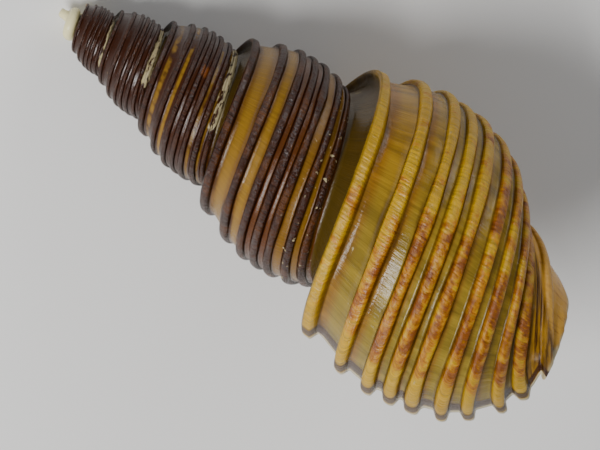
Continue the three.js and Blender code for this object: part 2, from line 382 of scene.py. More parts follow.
class WhelkStage(bpy.types.PropertyGroup):
    """Floor, lights and camera."""

    floor_size: FloatProperty(
        name="Floor Size",
        description="Half the width of the floor",
        default=2.0,
        unit="LENGTH",
    )
    floor_colour: FloatVectorProperty(
        name="Floor Colour",
        description="Colour of the floor",
        size=4,
        subtype="COLOR",
        default=(0.78, 0.77, 0.75, 1),
    )
    key_power: FloatProperty(
        name="Key Power",
        description="Power of the large soft light, in watts",
        default=4.2,
        unit="POWER",
    )
    rim_power: FloatProperty(
        name="Rim Power",
        description="Power of the low light behind, in watts",
        default=1.3,
        unit="POWER",
    )
    lens: FloatProperty(
        name="Lens",
        description="Focal length of the camera, in millimetres",
        default=108.0,
        unit="CAMERA",
    )


Stage = namedtuple("Stage", "early size down lean bare swell")


def smooth(low, high, value):
    """0 below low and 1 above high, with an even turn between."""
    share = min(1.0, max(0.0, (value - low) / (high - low)))
    return share * share * (3 - 2 * share)


def lerp(start, end, share):
    """The value that is a share of the way from start to end."""
    return start + (end - start) * share


def along_curve(points, place):
    """The point at a place, counted in points from 0, on the smooth curve through the points."""
    index = min(int(place), len(points) - 2)
    share = place - index
    before = points[max(index - 1, 0)]
    start = points[index]
    end = points[index + 1]
    after = points[min(index + 2, len(points) - 1)]
    leave = (end - before) * 0.5
    arrive = (after - start) * 0.5
    cubic = 2 * start - 2 * end + leave + arrive
    square = 3 * end - 3 * start - 2 * leave - arrive
    return ((cubic * share + square) * share + leave) * share + start


def growth(turn):
    """Size of the shell's tube at a turn, against its size at the lip."""
    return math.exp(GROWTH_RATE * turn + GROWTH_CURVE * turn * turn)


def descent(turn):
    """Distance down the axis from the lip's level to the tube's at a turn, by Simpson's rule."""
    width = turn / SIMPSON_PIECES
    total = 0.0
    for i in range(SIMPSON_PIECES + 1):
        weight = 4 if i % 2 else 2
        if i in (0, SIMPSON_PIECES):
            weight = 1
        total += weight * (PITCH + PITCH_GAIN * i * width) * growth(i * width)
    return total * width / 3


def tip_level(turn):
    """Level of the pillar's slanting tip at a turn."""
    return PILLAR_TIP + PILLAR_TIP_SLANT * math.cos(2 * math.pi * turn)


def clipped(point, turn):
    """The base ends where the pillar's slanting tip cuts it off."""
    return Vector((max(point.x, PILLAR_TIP_RADIUS + PILLAR_MOUTH_GAP), min(point.y, tip_level(turn))))


def wave(waves, turn, station, seed):
    """Smooth noise between -1 and 1, with so many waves for each turn and for each station."""
    return noise.noise(Vector((turn * waves[0], station * waves[1], seed)))


class Form:
    """Where each point of the shell lies, round its own axis. A flat point holds the distance from the
    axis and the level."""

    def __init__(self, sizes):
        self.sizes = sizes
        self.stages = {}
        self.crests = {}
        self.crest_line = [Vector(cord) for cord in CORDS]

    def stage(self, any_turn):
        """Size and place of the section at a turn."""
        turn = round(max(any_turn, -TURNS), 9)
        if turn not in self.stages:
            early = 1 - math.exp(turn)
            crook = NUB_CROOK * smooth(TURNS - NUB_BENT_TURNS, TURNS, -turn)
            self.stages[turn] = Stage(
                early=early,
                size=growth(turn),
                down=descent(turn),
                lean=LEAN_PER_TURN * (-turn - early) - crook,
                bare=smooth(WORN_FROM - WORN_EDGE, WORN_FROM + WORN_EDGE, -turn),
                swell=math.sqrt(smooth(0, BULB_TURNS, turn + TURNS)),
            )
        return self.stages[turn]

    def crest(self, station, turn):
        """Flat point on the line through the crests of the cords."""
        key = round(station, 6)
        if key not in self.crests:
            self.crests[key] = along_curve(self.crest_line, station - 1)
        line = self.crests[key]
        stage = self.stage(turn)
        beyond = line.y - BARREL_CENTRE
        radius = line.x + stage.early * (BARREL_TILT * beyond + BARREL_WIDEN)
        level = line.y + stage.early * BARREL_STRETCH * beyond
        return Vector((radius * stage.size, stage.down + level * stage.size))

    def outward(self, station, turn):
        """Direction away from the tube, in the half-plane."""
        above = self.crest(max(station - TANGENT_STEP, 1), turn)
        along = self.crest(min(station + TANGENT_STEP, BASE_END), turn) - above
        return Vector((along.y, -along.x)).normalized()

    def spacing(self, station, turn):
        """Distance between the two cords next to a station, at the lip's size."""
        above = max(1, min(BASE_END - 1, math.floor(station)))
        apart = self.crest(above + 1, turn) - self.crest(above, turn)
        return apart.length / self.stage(turn).size

    def off_centre(self, station, turn):
        """Distance from the nearest cord's middle, in half cord widths."""
        nearest = round(station)
        away = abs(station - nearest) * self.spacing(station, turn)
        wander = 1 + WIDTH_WANDER * wave(WIDTH_WAVES, turn, nearest, 8.1)
        return away * wander / (self.sizes.cord_width / 2)

    def cordness(self, station, turn):
        """1 on the flat top of a cord, and 0 in the channels between."""
        return 1 - smooth(CORD_TOP_SHARE, CORD_FOOT_SHARE, self.off_centre(station, turn))

    def relief(self, station, turn):
        """Depth of the surface below the crest line."""
        shallow = smooth(*SHOULDER_CHANNEL_ENDS, station)
        deep = lerp(self.sizes.shoulder_depth, self.sizes.cord_depth, shallow)
        endless = 1 - smooth(FASCIOLE, BASE_END, station)
        top = self.cordness(station, turn)
        crown = CROWN * self.off_centre(station, turn) ** 2
        return endless * lerp(deep, crown, top)

    def waves(self, station, turn):
        """Natural unevenness of the cords and channels."""
        broad = wave(BROAD_WAVES, turn, station, 0.3)
        fine = wave(FINE_WAVES, turn, station, 4.7)
        return self.sizes.unevenness * (broad + 0.5 * fine)

    def section_point(self, station, turn):
        """Flat point of the outside. The whole section starts as one point on the axis, at the apex."""
        stage = self.stage(turn)
        depth = lerp(self.relief(station, turn), self.sizes.cord_depth, stage.bare)
        depth -= self.waves(station, turn)
        whole = self.crest(station, turn) - self.outward(station, turn) * depth * stage.size
        grown = whole.lerp(self.core_point(station, turn), stage.bare)
        apex = Vector((0.0, self.core_point(1, -TURNS).y - NUB_LENGTH))
        return apex.lerp(grown, stage.swell)

    def core_point(self, station, turn):
        """Flat point of the bare core's tube, from its upper side to its lower side."""
        back = max(0.0, -max(turn, -TURNS) - WORN_FROM)
        share = back / (TURNS - WORN_FROM)
        reach = lerp(CORE_REACH, NUB_REACH, share)
        tube = lerp(CORE_TUBE, NUB_TUBE, share)
        middle = self.crest(1, -WORN_FROM).y + tube + CORE_SUNK - CORE_PITCH * back
        angle = math.pi * (min(1.0, max(0.0, (station - 1) / (SUTURE - 1))) - 0.5)
        return Vector((reach + tube * math.cos(angle), middle + tube * math.sin(angle)))

    def inner_point(self, station, turn, flute):
        """Flat point of the wall's inner side. The flute is how much the cords show there."""
        stage = self.stage(turn)
        deep = lerp(self.sizes.cord_depth, self.relief(station, turn), flute) + self.sizes.wall
        point = self.crest(station, turn) - self.outward(station, turn) * deep * stage.size
        cut_off = max(0.0, point.y - tip_level(turn) + self.sizes.wall)
        point.y -= cut_off
        point.x -= cut_off * CANAL_SLOPE
        pillar = PILLAR_TIP_RADIUS * min(1.0, PILLAR_TAPER * stage.size) + PILLAR_MOUTH_GAP
        point.x = max(point.x, pillar)
        return point

    def place(self, point, turn, lean=None):
        """The point in space of a flat point at a turn."""
        if lean is None:
            lean = self.stage(turn).lean
        angle = 2 * math.pi * turn
        return Vector((lean + point.x * math.cos(angle), point.x * math.sin(angle), point.y))

    def fall_back(self, station, turn):
        """How far the growth lines fall back at a station, in turns."""
        scalloped = smooth(*SCALLOPS_START, station) * (1 - smooth(*SCALLOPS_END, station))
        between_cords = smooth(*SCALLOP_FOOT, self.off_centre(station, turn))
        scallop = self.sizes.scallop * between_cords * scalloped
        bend = LAST_CORD_BACK * smooth(*LAST_CORD_BEND, station)
        notch = CANAL_NOTCH * smooth(*NOTCH_BEND, station)
        return -(scallop + bend + notch) * smooth(-LIP_REACH, 0, turn)

    def suture_place(self, turn):
        """The point where the whorl at a turn joins the whorl before it."""
        before = turn - 1
        return self.place(self.section_point(SUTURE, before), before)

    def ramp(self, turn, out=0.0, down=0.0):
        """Points of the ramp between the suture and the shoulder cord's rim, moved out and down."""
        stage = self.stage(turn)
        lean_before = self.stage(turn - 1).lean
        start = self.section_point(SUTURE, turn - 1)
        end = self.section_point(1, turn)
        points = []
        for (share, ramp_out, ramp_down), (nub_out, nub_down) in zip(RAMP, NUB_PROFILE):
            soften = stage.size * (1 - stage.bare)
            offset = Vector((ramp_out, ramp_down)) * soften + Vector((out, down)) * stage.size
            across = lerp(share, nub_out, stage.bare)
            along = lerp(share, nub_down, stage.bare)
            point = Vector((lerp(start.x, end.x, across), lerp(start.y, end.y, along))) + offset
            points.append(self.place(point, turn, lerp(lean_before, stage.lean, across)))
        return points

    def stations(self, first, last, turn):
        """Stations of the columns across the cords: close on the flanks, and wide in the channels."""
        found = []
        for cord in range(math.floor(first), math.ceil(last)):
            half = self.sizes.cord_width / 2 / self.spacing(cord + 0.5, turn)
            below = [cord + share * half for share in FLANK]
            above = [cord + 1 - share * half for share in reversed(FLANK[1:])]
            channel = []
            for i in range(1, CHANNEL_COLUMNS + 1):
                channel.append(lerp(below[-1], above[0], i / (CHANNEL_COLUMNS + 1)))
            found += below + channel + above
        found.append(math.ceil(last))
        return [station for station in found if first - 1e-6 < station < last + 1e-6]


Spot = namedtuple("Spot", "point turn station cordness inside")


def outer_row(form, turn):
    """The outside at a turn, from the suture above to the next suture."""
    shoulder = form.place(form.section_point(1, turn), turn)
    control = [form.suture_place(turn)] + form.ramp(turn) + [shoulder]
    row = []
    for i in range(RAMP_COLUMNS):
        share = i / RAMP_COLUMNS
        rim = smooth(*RAMP_RIM, share)
        point = along_curve(control, share * (len(control) - 1))
        row.append(Spot(point, turn, share, rim, 0.0))
    for station in form.stations(1, SUTURE, turn):
        row.append(outside_spot(form, station, turn))
    return row


def outside_spot(form, station, turn):
    """A point of the whorl's outside."""
    at = turn + form.fall_back(station, turn)
    point = form.place(form.section_point(station, at), at)
    return Spot(point, turn, station, form.cordness(station, at) * (1 - form.stage(at).bare), 0.0)


def base_row(form, turn):
    """The base below the suture at a turn, then the pillar down to its rim."""
    row = [outside_spot(form, SUTURE, turn)]
    for station in form.stations(SUTURE, BASE_END, turn)[1:]:
        end_turn = turn + form.fall_back(station, turn)
        end = clipped(form.section_point(station, end_turn), end_turn)
        cordness = form.cordness(station, end_turn)
        row.append(Spot(form.place(end, end_turn), turn, station, cordness, 0.0))
    rim = Vector((PILLAR_TIP_RADIUS, tip_level(turn)))
    length = (end - rim).length
    last_share = 1 - RIM_BAND / max(length, 2 * RIM_BAND)
    shares = [last_share * i / PILLAR_COLUMNS for i in range(1, PILLAR_COLUMNS + 1)]
    shares += [lerp(last_share, 1, i / LIP_SEGMENTS) for i in range(1, LIP_SEGMENTS + 1)]
    for share in shares:
        waist = PILLAR_WAIST * math.sin(math.pi * share) * smooth(0, WAIST_LENGTH, length)
        point = end.lerp(rim, share) - Vector((waist, 0))
        lean = form.stage(end_turn).lean * (1 - share)
        place = form.place(point, lerp(end_turn, turn, share), lean)
        row.append(Spot(place, turn, BASE_END + share, 0.0, 0.0))
    return row


def flute_at(turn):
    """How much the cords show on the wall's inner side at a turn."""
    return smooth(-FLUTE_REACH, 0, turn)


def depth_at(turn):
    """How far inside a turn of the hollow is, from 0.5 at the lip to 1."""
    return 0.5 + 0.5 * smooth(0, GLAZE_REACH, -turn)


def inner_row(form, turn, corner, stations_at, foot_line):
    """The wall's inner side at a turn, with one point for each of the outside's."""
    flute = flute_at(turn)
    depth = depth_at(turn)
    under = form.ramp(turn, -UNDER_RAMP_IN, form.sizes.wall)[:2]
    shoulder = form.place(form.inner_point(UNDER_SHOULDER, turn, flute), turn)
    control = [corner] + under + [shoulder]
    early = [i / RAMP_COLUMNS for i in range(RAMP_COLUMNS)]
    early += [station for station in stations_at if station <= UNDER_SHOULDER]
    row = []
    for i, station in enumerate(early):
        point = along_curve(control, (len(control) - 1) * i / len(early))
        row.append(Spot(point, turn, station, 0.0, depth))
    for station in stations_at[len(early) - RAMP_COLUMNS :]:
        at = turn + form.fall_back(station, turn)
        point = form.place(form.inner_point(station, at, flute), at)
        row.append(Spot(point, turn, station, flute * form.cordness(station, at), depth))
    for i, point in enumerate(foot_line, 1):
        row.append(Spot(point, turn, BASE_END + i / len(foot_line), 0.0, depth))
    return row


def add_sheet(bm, rows):
    """Adds a sheet of quads through rows of spots, with the maps of where each face corner is."""
    last_row = len(rows) - 1
    last_column = len(rows[0]) - 1
    made = bmesh.ops.create_grid(bm, x_segments=last_row, y_segments=last_column, size=0.5)
    spots = {}
    # The grid reaches from -0.5 to 0.5 both ways.
    for vert in made["verts"]:
        row = round((vert.co.x + 0.5) * last_row)
        column = round((vert.co.y + 0.5) * last_column)
        spots[vert] = rows[row][column]
        vert.co = spots[vert].point
    growth_map = bm.loops.layers.uv[GROWTH_MAP]
    relief_map = bm.loops.layers.uv[RELIEF_MAP]
    for vert, spot in spots.items():
        for loop in vert.link_loops:
            loop[growth_map].uv = (spot.turn, spot.station)
            loop[relief_map].uv = (spot.cordness, spot.inside)


def add_outside(bm, form):
    """The outside of all whorls, and the base with the pillar on the last turn."""
    turns = [(step - STEPS) / STEPS_PER_TURN for step in range(STEPS + 1)]
    add_sheet(bm, [outer_row(form, turn) for turn in turns])
    last_turn = turns[-STEPS_PER_TURN - 1 :]
    rows = [base_row(form, turn) for turn in last_turn]
    add_sheet(bm, rows)
    return rows[0]


def add_lip(bm, form, base_before, inner):
    """The rounded edge of the lip, from the outside to the inner side."""
    outer = outer_row(form, 0) + base_row(form, 0)[1:]
    rows = []
    for start, end in zip(outer, inner):
        between = end.point - start.point
        angle = math.atan2(start.point.y + end.point.y, start.point.x + end.point.x)
        forward = Vector((-math.sin(angle), math.cos(angle), 0))
        grown = smooth(0, LIP_START, start.station)
        faded = smooth(BASE_END - LIP_FADE, BASE_END, start.station)
        bulge = forward * between.length * LIP_ROUNDING * grown * (1 - faded)
        row = []
        for i in range(LIP_SEGMENTS + 1):
            share = i / LIP_SEGMENTS
            point = start.point + between * (1 - math.cos(math.pi * share)) / 2
            point += bulge * math.sin(math.pi * share)
            row.append(Spot(point, 0.0, start.station, start.cordness * (1 - share), share / 2))
        rows.append(row)
    rows[0] = [spot._replace(point=base_before[i].point) for i, spot in enumerate(rows[0])]
    rows[-1] = [spot._replace(point=base_before[-1 - i].point) for i, spot in enumerate(rows[-1])]
    add_sheet(bm, [list(column) for column in zip(*rows)])


def lip_inner_row(form, base_before):
    """The inner side of the lip, which ends beside the pillar's rim."""
    stations_at = form.stations(1, BASE_END, 0)
    near_rim = base_before[-1 - LIP_SEGMENTS].point
    at = form.fall_back(BASE_END, 0)
    start = form.place(form.inner_point(BASE_END, at, 1), at)
    count = PILLAR_COLUMNS + LIP_SEGMENTS
    foot_line = [start.lerp(near_rim, i / count) for i in range(1, count + 1)]
    return inner_row(form, 0, base_before[LIP_SEGMENTS].point, stations_at, foot_line)


def add_hollow(bm, form, base_before, inner):
    """The hollow inside the whorls: out along the wall, and back along the whorl before."""
    back = base_before[LIP_SEGMENTS : -1 - LIP_SEGMENTS]
    first = inner + [spot._replace(turn=0.0, inside=0.5) for spot in reversed(back)]
    rows = [first]
    steps = round(HOLLOW_TURNS * HOLLOW_STEPS_PER_TURN)
    near = PILLAR_COLUMNS + LIP_SEGMENTS
    for step in range(1, steps + 1):
        turn = -step / HOLLOW_STEPS_PER_TURN
        before = turn - 1
        depth = depth_at(turn)
        whorl = []
        for station in form.stations(SUTURE, BASE_END, before)[LIP_SEGMENTS:]:
            point = form.place(form.section_point(station, before), before)
            whorl.append(Spot(point, turn, station, 0.0, depth))
        foot_turn = turn + form.fall_back(BASE_END, turn)
        foot = form.place(form.inner_point(BASE_END, foot_turn, flute_at(turn)), foot_turn)
        last_share = near / (near + PILLAR_COLUMNS)
        split = lerp(FIRST_FOOT_SHARE, last_share, smooth(0, FOOT_REACH, -turn))
        top = whorl[-1].point
        foot_line = [foot.lerp(top, split * i / near) for i in range(1, near + 1)]
        row = inner_row(form, turn, whorl[0].point, form.stations(1, BASE_END, turn), foot_line)
        for i in range(1, PILLAR_COLUMNS):
            share = lerp(split, 1, i / PILLAR_COLUMNS)
            row.append(Spot(foot.lerp(top, share), turn, BASE_END + 1 - share, 0.0, depth))
        row += reversed(whorl)
        rows.append(row)
    add_sheet(bm, rows)


def close_ends(bm):
    """Closes the pillar's tip, with a dimple, and the far end of the hollow."""
    open_edges = [edge for edge in bm.edges if edge.is_boundary]
    filled = bmesh.ops.holes_fill(bm, edges=open_edges, sides=0)["faces"]
    growth_map = bm.loops.layers.uv[GROWTH_MAP]
    relief_map = bm.loops.layers.uv[RELIEF_MAP]
    tip_faces = [face for face in filled if face.calc_center_median().xy.length < PILLAR_TIP_RADIUS]
    for face in filled:
        for loop in face.loops:
            loop[growth_map].uv = (-0.5, BASE_END + 1)
            loop[relief_map].uv = (0.0, 0.0 if face in tip_faces else 1.0)
    for face in tip_faces:
        centre = bmesh.ops.poke(bm, faces=[face])["verts"]
        bmesh.ops.translate(bm, verts=centre, vec=(0, 0, -PILLAR_TIP_DIMPLE))
    rest = [face for face in bm.faces if len(face.verts) > 4]
    bmesh.ops.poke(bm, faces=rest)


def lay_down(bm):
    """Lays the shell on its belly and flattens what would reach below the ground."""
    turn = Matrix.Rotation(LAY, 4, "Y") @ Matrix.Rotation(ROLL, 4, "Z")
    bmesh.ops.transform(bm, matrix=Matrix.Translation(REST_AT) @ turn, verts=bm.verts)
    for vert in bm.verts:
        vert.co.z = max(vert.co.z, 0.0)


def link_input(tree, socket, value):
    """Links a socket to another's output, or sets it to a value."""
    if isinstance(value, bpy.types.NodeSocket):
        tree.links.new(value, socket)
    elif value is not None:
        socket.default_value = value


class Pattern:
    """Short ways to build a material's pattern from nodes."""

    def __init__(self, material):
        material.use_nodes = True
        self.tree = material.node_tree
        self.tree.nodes.clear()

    def node(self, kind, **settings):
        """A new node of a kind, with its settings."""
        made = self.tree.nodes.new(kind)
        for name, value in settings.items():
            setattr(made, name, value)
        return made

    def math(self, operation, a, b=None, c=None):
        """The result of a sum, which takes sockets or numbers."""
        made = self.node("ShaderNodeMath", operation=operation)
        for socket, value in zip(made.inputs, (a, b, c)):
            link_input(self.tree, socket, value)
        return made.outputs[0]

    def step(self, value, low, high, start=0.0, end=1.0):
        """Smoothly from start, where the value is low, to end, where it is high."""
        made = self.node("ShaderNodeMapRange", interpolation_type="SMOOTHSTEP")
        for socket, number in zip(made.inputs, (value, low, high, start, end)):
            link_input(self.tree, socket, number)
        return made.outputs[0]

    def times(self, a, b):
        """One value times another."""
        return self.math("MULTIPLY", a, b)

    def mix(self, share, a, b, blend="MIX"):
        """Colour a where the share is 0, and b where it is 1."""
        made = self.node("ShaderNodeMix", data_type="RGBA", blend_type=blend)
        link_input(self.tree, made.inputs["Factor"], share)
        link_input(self.tree, made.inputs[6], a)
        link_input(self.tree, made.inputs[7], b)
        return made.outputs[2]

    def shaded(self, colour, shade):
        """The colour, darker where the shade is below 1."""
        return self.mix(1.0, colour, shade, "MULTIPLY")

    def split_map(self, name):
        """The two values of a map."""
        made = self.node("ShaderNodeUVMap", uv_map=name)
        split = self.node("ShaderNodeSeparateXYZ")
        self.tree.links.new(made.outputs[0], split.inputs[0])
        return split.outputs[0], split.outputs[1]

    def noise(self, along, across, scale_along, scale_across, seed=0.0, detail=2.0, roughness=0.5):
        """Noise that is stretched along the growth and across the cords."""
        place = self.node("ShaderNodeCombineXYZ")
        self.tree.links.new(self.times(along, scale_along), place.inputs[0])
        self.tree.links.new(self.times(across, scale_across), place.inputs[1])
        place.inputs[2].default_value = seed
        made = self.node("ShaderNodeTexNoise", noise_dimensions="3D")
        self.tree.links.new(place.outputs[0], made.inputs["Vector"])
        made.inputs["Scale"].default_value = 1.0
        made.inputs["Detail"].default_value = detail
        made.inputs["Roughness"].default_value = roughness
        return made.outputs[0]

    def surface(self):
        """The shader of the whole surface, linked to the material's output."""
        shader = self.node("ShaderNodeBsdfPrincipled")
        out = self.node("ShaderNodeOutputMaterial")
        self.tree.links.new(shader.outputs[0], out.inputs[0])
        return shader

    def within(self, value, low, high, soft):
        """1 between low and high, with soft ends."""
        rise = self.step(value, low - soft, low + soft)
        fall = self.step(value, high - soft, high + soft, 1.0, 0.0)
        return self.times(rise, fall)


def body_stain(p, turn, station, lines):
    """How deeply the cords of the last whorl are stained, mostly in a belt before the lip."""
    blotch = p.noise(turn, station, 42, 1.25, seed=2.0, detail=5.0, roughness=0.65)
    fleck = p.noise(turn, station, 230, 3.5, seed=9.0, detail=3.0)
    belt = p.times(p.within(turn, *STAINED_TURNS, 0.035), p.step(station, 0.9, 2.4, 0.35, 1.0))
    far_turns = p.within(turn, *FAR_STAINED_TURNS, 0.05)
    far_belt = p.times(far_turns, p.step(station, 3.4, 6.6, 0.1, 0.85))
    bias = p.times(p.math("MAXIMUM", belt, far_belt), 0.21)
    bias = p.math("ADD", bias, p.step(turn, *LAST_GROWTH, 0.0, -0.12))
    grain = p.math("MULTIPLY_ADD", lines, 0.16, p.times(fleck, 0.3))
    return p.math("ADD", grain, p.math("ADD", blotch, bias))


def body_channel(p, colours, turn, station, lines):
    """Olive channels of the last whorl, with a brown painted shade below each cord, and paler near the
    lip.
    """
    yellow = p.times(p.step(station, 3.4, 1.8, 0.1, 0.6), p.step(turn, -0.2, -0.34))
    channel = p.mix(yellow, colours.olive, colours.honey)
    channel = p.mix(p.step(turn, -0.3, -0.06, 0.0, 0.6), channel, colours.khaki)
    # Painted shade: rust is mixed into the channel just below each cord and fades out across it.
    shade_below_cord = p.step(p.math("FRACT", station), 0.3, 0.55, 0.5, 0.0)
    channel = p.mix(shade_below_cord, channel, colours.rust)
    shade = p.noise(turn, station, 48, 0.4, seed=5.0, detail=4.0, roughness=0.6)
    channel = p.shaded(channel, p.step(shade, 0.32, 0.68, 0.68, 1.2))
    return p.shaded(channel, p.step(lines, 0.35, 0.65, 0.88, 1.08))


def body_colour(p, colours, turn, station, cordness, lines):
    """Golden cords with rust blotches, and olive channels, on the last whorl."""
    stain = body_stain(p, turn, station, lines)
    tone = p.noise(turn, station, 17, 0.9, seed=3.0, detail=2.0)
    cord = p.mix(p.step(tone, 0.35, 0.7, 0.0, 0.45), colours.gold, colours.honey)
    cord = p.mix(p.step(stain, 0.8, 0.92, 0.0, 0.85), cord, colours.orange)
    cord = p.mix(p.step(stain, 0.88, 1.04, 0.0, 0.95), cord, colours.rust)
    cord = p.shaded(cord, p.step(lines, 0.32, 0.66, 0.72, 1.12))
    channel = body_channel(p, colours, turn, station, lines)
    return p.mix(p.step(cordness, 0.12, 0.5), channel, cord)


def spire_channel(p, colours, turn, station, lines):
    """Amber channels of the spire's last whorl, which darken and narrow towards the apex."""
    upper = p.within(station, 1.0, 3.1, 0.12)
    lower = p.within(station, 5.0, 7.3, 0.2)
    wide = p.math("MAXIMUM", upper, p.times(lower, 0.6))
    soot = p.noise(turn, station, 28, 1.0, seed=17.0, detail=4.0, roughness=0.6)
    clean = p.step(p.math("MULTIPLY_ADD", turn, -0.34, soot), 1.18, 1.42, 1.0, 0.0)
    across = p.math("FRACT", station)
    thin = p.within(across, 0.3, 0.55, 0.06)
    kept = p.math("MAXIMUM", p.step(turn, *AMBER_STARTS), thin)
    middle = p.math("MULTIPLY_ADD", p.within(across, 0.33, 0.67, 0.12), 0.6, 0.4)
    amber = p.times(p.times(p.times(wide, clean), kept), middle)
    base = p.mix(p.step(turn, *UMBER_STARTS, 0.85, 0.0), colours.umber, colours.chocolate)
    channel = p.mix(amber, base, colours.amber)
    channel = p.mix(p.step(turn, *DARK_ENDS, 0.9, 0.0), channel, colours.chocolate)
    return p.shaded(channel, p.step(lines, 0.3, 0.7, 0.82, 1.1))


def spire_colour(p, colours, turn, station, cordness, lines):
    """Chocolate cords with amber channels on the earlier whorls, and two reddish spots."""
    patch = p.noise(turn, station, 26, 1.1, seed=12.0, detail=4.0)
    late = p.step(turn, -2.2, -1.6, 0.25, 0.75)
    umber = p.times(p.step(patch, 0.45, 0.66), late)
    cord = p.mix(umber, colours.chocolate, colours.umber)
    cord = p.shaded(cord, p.step(lines, 0.3, 0.7, 0.65, 1.35))
    channel = spire_channel(p, colours, turn, station, lines)
    colour = p.mix(p.step(cordness, 0.08, 0.32), channel, cord)
    spot_turns, spot_stations = RED_SPOTS
    spots = p.times(p.within(turn, *spot_turns, 0.006), p.within(station, *spot_stations, 0.1))
    return p.mix(p.times(spots, 0.7), colour, colours.rust)


def add_flakes(p, colours, turn, station, colour):
    """Cream flakes where the surface has worn off, at the sutures and on the cords of the spire."""
    flake = p.noise(turn, station, 30, 2.6, seed=31.0, detail=5.0, roughness=0.62)
    near = 0.0
    for turns, soft, stations in FLAKES:
        patch = p.times(p.within(turn, *turns, soft), p.step(station, *stations))
        near = p.math("MAXIMUM", near, patch)
    worn = p.step(p.math("MULTIPLY_ADD", near, 0.26, flake), 0.68, 0.74)
    speck = p.noise(turn, station, 110, 3.0, seed=44.0, detail=2.0)
    low_cords = p.times(p.within(turn, *SPECKLED_TURNS, 0.05), p.step(station, 4.8, 5.8))
    speckled = p.times(p.step(speck, 0.67, 0.7), low_cords)
    return p.mix(p.math("MAXIMUM", worn, speckled), colour, colours.cream)


def base_colour(p, colours, turn, station, colour):
    """The fasciole's fine dark ridges, and the smooth streaked base with its pale rim beside them."""
    ridges = p.noise(turn, station, 6, 8.0, seed=15.0, detail=4.0, roughness=0.65)
    ridged = p.mix(p.step(ridges, 0.36, 0.66, 0.0, 0.85), colours.chocolate, colours.honey)
    recent = p.step(turn, *BASE_STARTS)
    colour = p.mix(p.times(p.step(station, *RIDGES_START), recent), colour, ridged)
    slant = p.math("MULTIPLY_ADD", turn, -3.0, station)
    smooth_base = p.times(p.step(slant, 10.55, 10.75), p.step(station, *SMOOTH_BASE_STARTS))
    colour = p.mix(p.times(smooth_base, recent), colour, colours.callus)
    colour = p.mix(p.step(station, *CALLUS_STARTS), colour, colours.callus)
    streaks = p.noise(station, turn, 3.0, 70, seed=23.0, detail=4.0, roughness=0.6)
    streaked = p.times(p.step(streaks, 0.5, 0.68, 0.0, 0.5), p.step(slant, 10.6, 10.8))
    colour = p.mix(p.times(streaked, recent), colour, colours.rust)
    beside_rim = p.math("MULTIPLY_ADD", turn, 3.09, station)
    rim = p.times(p.step(beside_rim, 9.72, 9.84, 0.0, 0.8), p.step(station, *BASE_RIM_STARTS))
    return p.mix(p.times(rim, recent), colour, colours.lip)


def lip_colour(p, colours, turn, inside, colour):
    """A dark line just before the lip's pale edge, and the glaze inside."""
    dark = p.within(turn, *LIP_LINE, 0.004)
    colour = p.mix(p.times(dark, 0.9), colour, colours.chocolate)
    pale = p.math("MAXIMUM", p.step(turn, *LIP_EDGE), p.step(inside, 0.02, 0.08))
    colour = p.mix(pale, colour, colours.lip)
    return p.mix(p.step(inside, 0.5, 0.75), colour, colours.inside)


def shell_colour(p, colours, turn, station, cordness, inside, lines):
    """The colour of the whole surface, by turn, by cord and by how far inside the lip a place is."""
    body = body_colour(p, colours, turn, station, cordness, lines)
    spire = spire_colour(p, colours, turn, station, cordness, lines)
    ragged = p.math("MULTIPLY_ADD", p.noise(turn, station, 30, 1.5, seed=20.0), 0.22, turn)
    colour = p.mix(p.step(ragged, *SPIRE_ENDS, 1.0, 0.0), body, spire)
    # Painted shade: a dark chocolate line along the foot of each cord, where it meets the channel.
    cord_foot_shade = p.times(p.within(cordness, 0.06, 0.4, 0.08), p.step(station, 1.0, 1.1))
    colour = p.mix(p.times(cord_foot_shade, 0.6), colour, colours.chocolate)
    # Painted shade: the recess between the suture and the shoulder cord is darkened towards the ramp
    # colour.
    colour = p.mix(p.step(station, 0.35, 0.9, 0.88, 0.0), colour, colours.ramp)
    colour = add_flakes(p, colours, turn, station, colour)
    colour = p.mix(p.within(turn, -WORN_FROM, -WORN_FROM + 0.05, 0.012), colour, colours.amber)
    bare = p.step(turn, -WORN_FROM - 0.02, -WORN_FROM + 0.02, 1.0, 0.0)
    colour = p.mix(bare, colour, colours.core)
    colour = base_colour(p, colours, turn, station, colour)
    return lip_colour(p, colours, turn, inside, colour)


def shell_material(colours):
    """Glossy shell with fine growth lines, which are coarser on the cords."""
    material = bpy.data.materials.new("shell_surface")
    p = Pattern(material)
    turn, station = p.split_map(GROWTH_MAP)
    cordness, inside = p.split_map(RELIEF_MAP)
    lines = p.noise(turn, station, 340, 0.6, seed=1.0, detail=3.0, roughness=0.65)
    beads = p.noise(turn, station, 120, 1.6, seed=6.0, detail=3.0, roughness=0.6)

    colour = shell_colour(p, colours, turn, station, cordness, inside, lines)
    cord_roughness = p.step(turn, *SPIRE_SHINE_ENDS, 0.21, 0.31)
    roughness = p.step(cordness, 0.1, 0.7, 0.2, cord_roughness)
    shader = p.surface()
    p.tree.links.new(colour, shader.inputs["Base Color"])
    p.tree.links.new(roughness, shader.inputs["Roughness"])
    shader.inputs["Specular IOR Level"].default_value = SHELL_SPECULAR

    coarse = p.times(beads, p.step(cordness, 0.3, 0.8, 0.25, 2.4))
    cord_lines = p.step(turn, *SPIRE_SHINE_ENDS, 3.0, 1.9)
    fine = p.times(lines, p.step(cordness, 0.2, 0.7, 0.6, cord_lines))
    size = p.step(turn, -4.0, -0.5, 0.25, 1.0)
    bump = p.node("ShaderNodeBump")
    bump.inputs["Strength"].default_value = BUMP_STRENGTH
    bump.inputs["Distance"].default_value = BUMP_DISTANCE
    p.tree.links.new(p.times(p.math("ADD", fine, coarse), size), bump.inputs["Height"])
    p.tree.links.new(bump.outputs[0], shader.inputs["Normal"])
    return material


